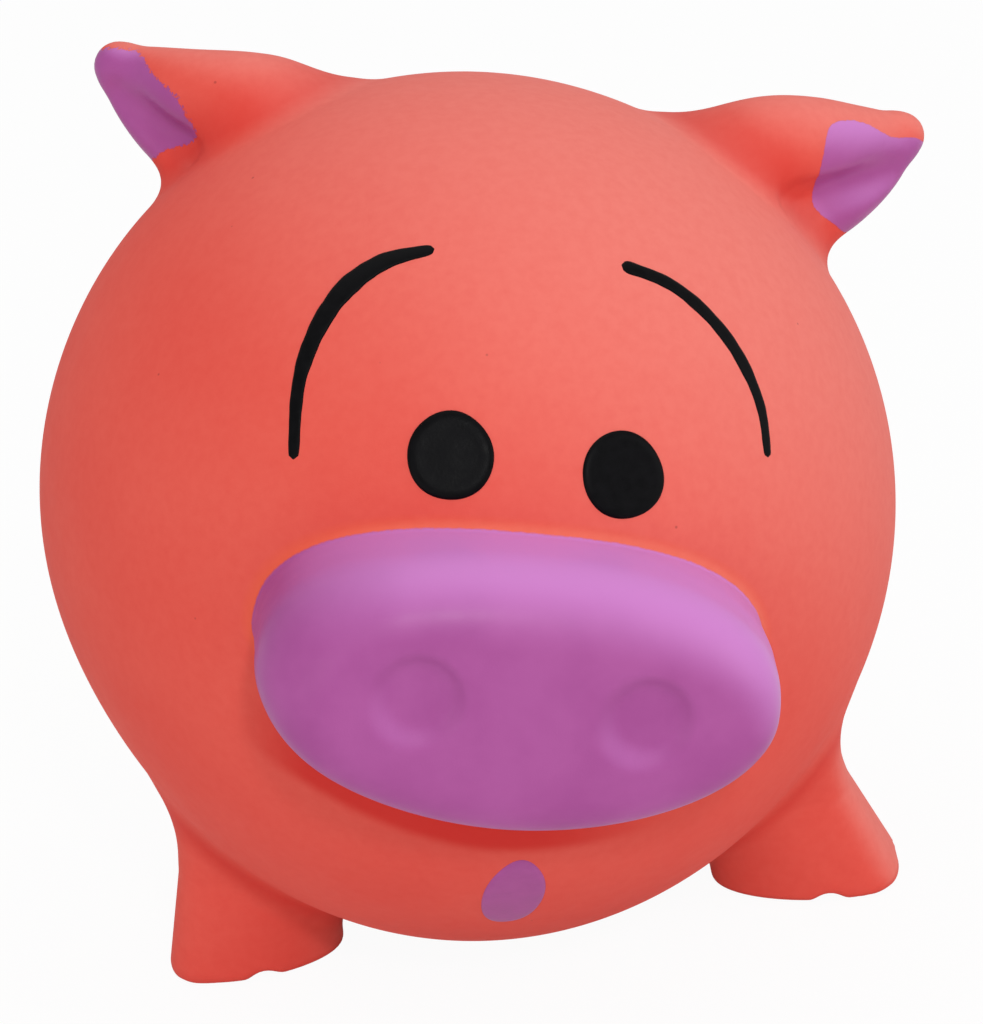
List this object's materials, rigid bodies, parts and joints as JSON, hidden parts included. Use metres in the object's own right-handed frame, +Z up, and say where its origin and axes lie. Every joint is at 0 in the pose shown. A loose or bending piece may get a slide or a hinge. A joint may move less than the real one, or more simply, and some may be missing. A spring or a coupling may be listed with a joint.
{
  "type": "squeaky latex pig toy",
  "caption": "Ball-shaped stuffed latex pig toy with a press-in oval snout, flexing leaf ears, stub legs, a curled tail and a reed squeaker plugged into its belly.",
  "frame": {"origin": "on the surface the toy stands on, under the middle of its box", "axes": "+Z up, the face looks along -Y, the viewer's right as one faces the toy is +X"},
  "size_m": [0.0974, 0.1074, 0.0964],
  "materials": {
    "coral_latex": "satin",
    "purple_paint": "satin",
    "black_paint": "satin",
    "fibre": "matte",
    "white_plastic": "satin",
    "clear_film": "gloss"
  },
  "bodies": {
    "ball": {"body_shell": "coral_latex", "stuffing": "fibre", "eye_left": "black_paint", "eye_right": "black_paint", "brow_left": "black_paint", "brow_right": "black_paint", "mouth": "purple_paint", "leg_front_left": "coral_latex", "leg_front_right": "coral_latex", "leg_rear_left": "coral_latex", "leg_rear_right": "coral_latex", "tail": "coral_latex", "squeaker_plug": "white_plastic", "squeaker_cap": "white_plastic", "reed_bed": "white_plastic", "reed_clip": "white_plastic"},
    "snout_pad": {"snout": "purple_paint", "snout_filling": "fibre"},
    "left_ear": {"ear_left": "coral_latex", "ear_lining_left": "purple_paint"},
    "right_ear": {"ear_right": "coral_latex", "ear_lining_right": "purple_paint"},
    "squeaker_reed": {"reed": "clear_film"}
  },
  "joints": [
    {"name": "snout_press", "type": "slide", "parent": "ball", "child": "snout_pad", "axis": [0.0398, 0.9991, -0.0148], "range_m": [0, 0.006], "stiffness_N_per_m": 400, "deforming": ["stuffing"]},
    {"name": "ear_left_flex", "type": "hinge", "parent": "ball", "child": "left_ear", "pos_m": [-0.02035, 0.01943, 0.08556], "axis": [-0.9239, -0.0522, -0.3792], "range_deg": [-20, 20], "stiffness_Nm_per_rad": 0.02},
    {"name": "ear_right_flex", "type": "hinge", "parent": "ball", "child": "right_ear", "pos_m": [0.03044, 0.01255, 0.0749], "axis": [0.6505, -0.3216, -0.6881], "range_deg": [-20, 20], "stiffness_Nm_per_rad": 0.02},
    {"name": "reed_flutter", "type": "hinge", "parent": "ball", "child": "squeaker_reed", "pos_m": [-0.00367, 0.00281, 0.01784], "axis": [1, 0, 0], "range_deg": [-6, 1.5], "stiffness_Nm_per_rad": 0.00005}
  ]
}
